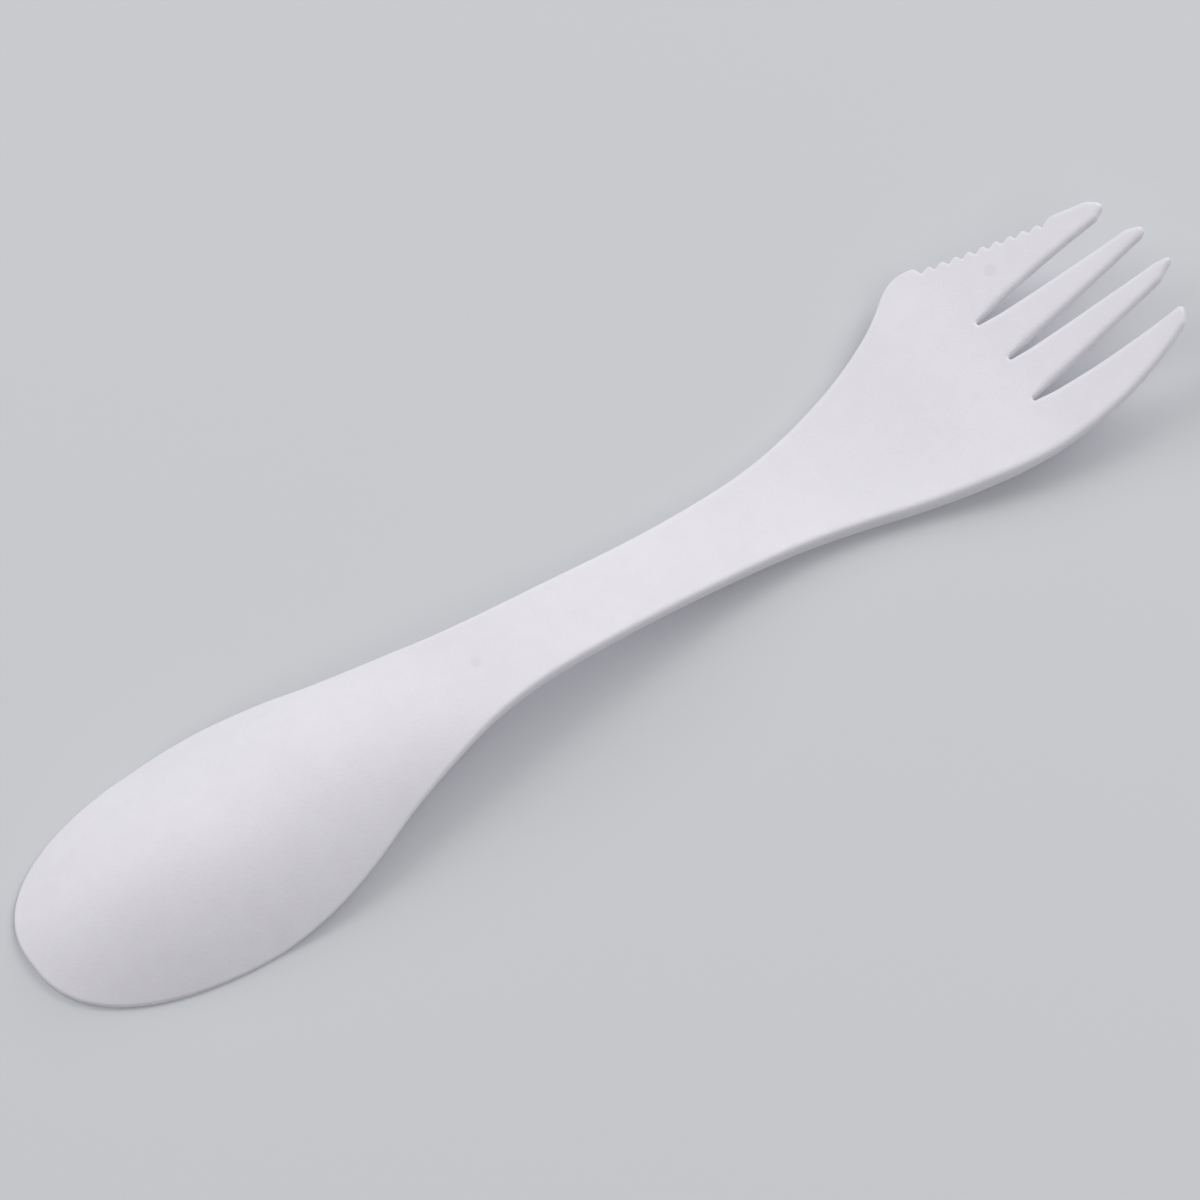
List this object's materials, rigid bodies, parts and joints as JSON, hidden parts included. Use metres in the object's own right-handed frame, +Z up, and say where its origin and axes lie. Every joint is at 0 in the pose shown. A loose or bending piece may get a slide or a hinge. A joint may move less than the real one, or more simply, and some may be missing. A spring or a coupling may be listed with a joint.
{
  "type": "spork with serrated fork tine",
  "caption": "Double-ended plastic spork: spoon bowl at one end, fork with a serrated outer tine at the other, shown bowl-down on a table.",
  "frame": {"origin": "middle of the overall length and width, on the table plane that the bowl's rim and the fork's belly rest on", "axes": "+X from the spoon bowl to the fork tips, +Y towards the side with the teeth, +Z up, away from the table"},
  "size_m": [0.17, 0.034, 0.0107],
  "materials": {
    "moulded_white": "satin"
  },
  "bodies": {
    "root": {"spoon_bowl": "moulded_white", "neck": "moulded_white", "handle": "moulded_white", "fork_palm": "moulded_white", "toothed_tine": "moulded_white", "serrated_edge": "moulded_white", "inner_tine_toothed_side": "moulded_white", "inner_tine_plain_side": "moulded_white", "plain_outer_tine": "moulded_white"}
  },
  "joints": []
}
